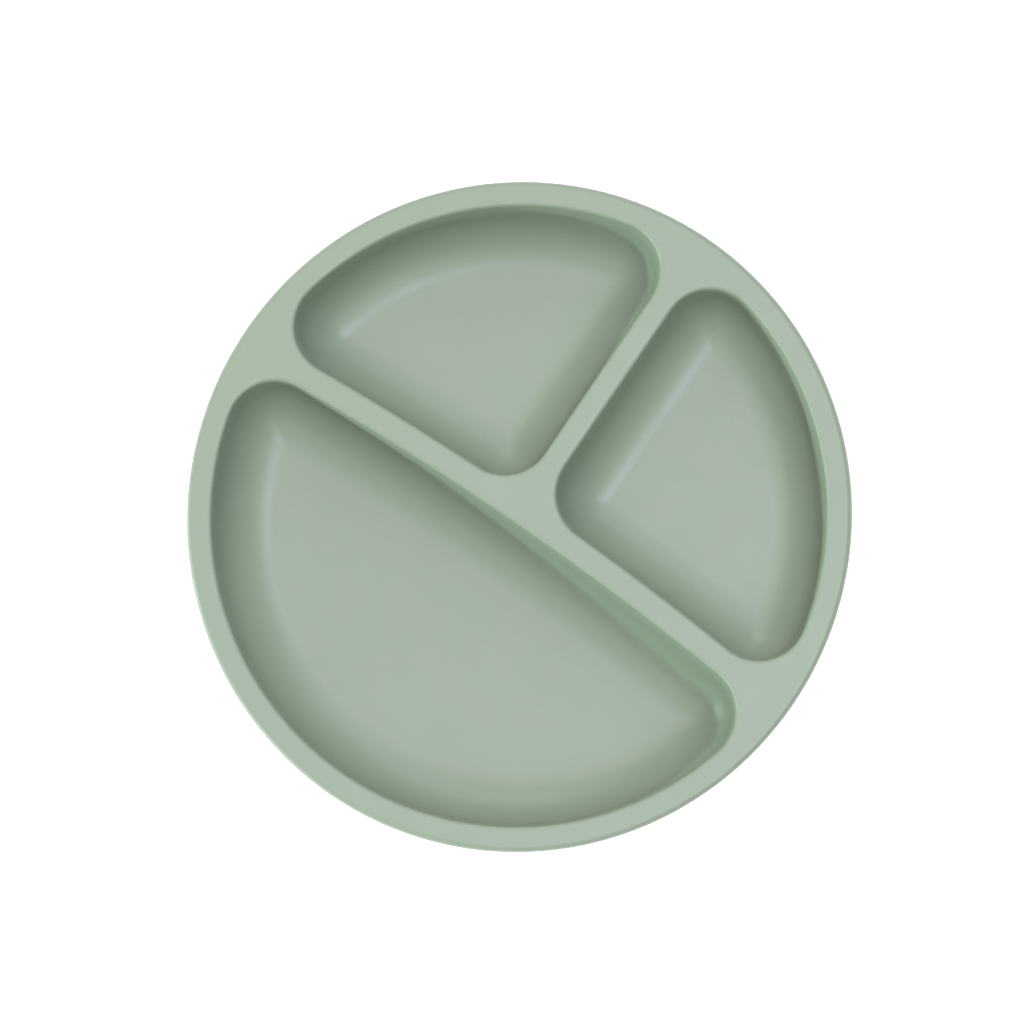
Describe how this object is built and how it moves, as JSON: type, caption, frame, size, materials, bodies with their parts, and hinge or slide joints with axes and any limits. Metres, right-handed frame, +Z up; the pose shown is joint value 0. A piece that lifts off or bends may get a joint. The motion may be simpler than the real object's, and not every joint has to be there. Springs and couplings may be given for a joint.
{
  "type": "divided suction plate",
  "caption": "Round silicone child's plate with divided compartments on a flexible suction base with a pull tab that releases it from the table.",
  "frame": {"origin": "middle of the plate at table height, in the plane of the sealing lip", "axes": "+Z up out of the compartments, +Y along the short divider, the release tab points to -Y"},
  "size_m": [0.19, 0.19, 0.03],
  "materials": {
    "plate_silicone": "matte moulded silicone, sage green",
    "base_silicone": "softer silicone of the same green, satin on the sealing face",
    "bond": "thin clear silicone adhesive"
  },
  "bodies": {
    "plate": {"plate_body": "plate_silicone", "suction_base": "base_silicone", "bond_ring": "bond"},
    "skirt": {"suction_skirt": "base_silicone"},
    "tab": {"release_tab": "base_silicone"}
  },
  "joints": [
    {"name": "skirt_press", "type": "slide", "parent": "plate", "child": "skirt", "axis": [0, 0, 1], "range_m": [0, 0.002], "stiffness_N_per_m": 15000, "springref_m": -0.0003, "deforming": ["suction_skirt"]},
    {"name": "tab_lift", "type": "hinge", "parent": "skirt", "child": "tab", "pos_m": [0, -0.07356, 0.0019], "axis": [-1, 0, 0], "range_deg": [0, 20], "stiffness_Nm_per_rad": 0.02}
  ]
}
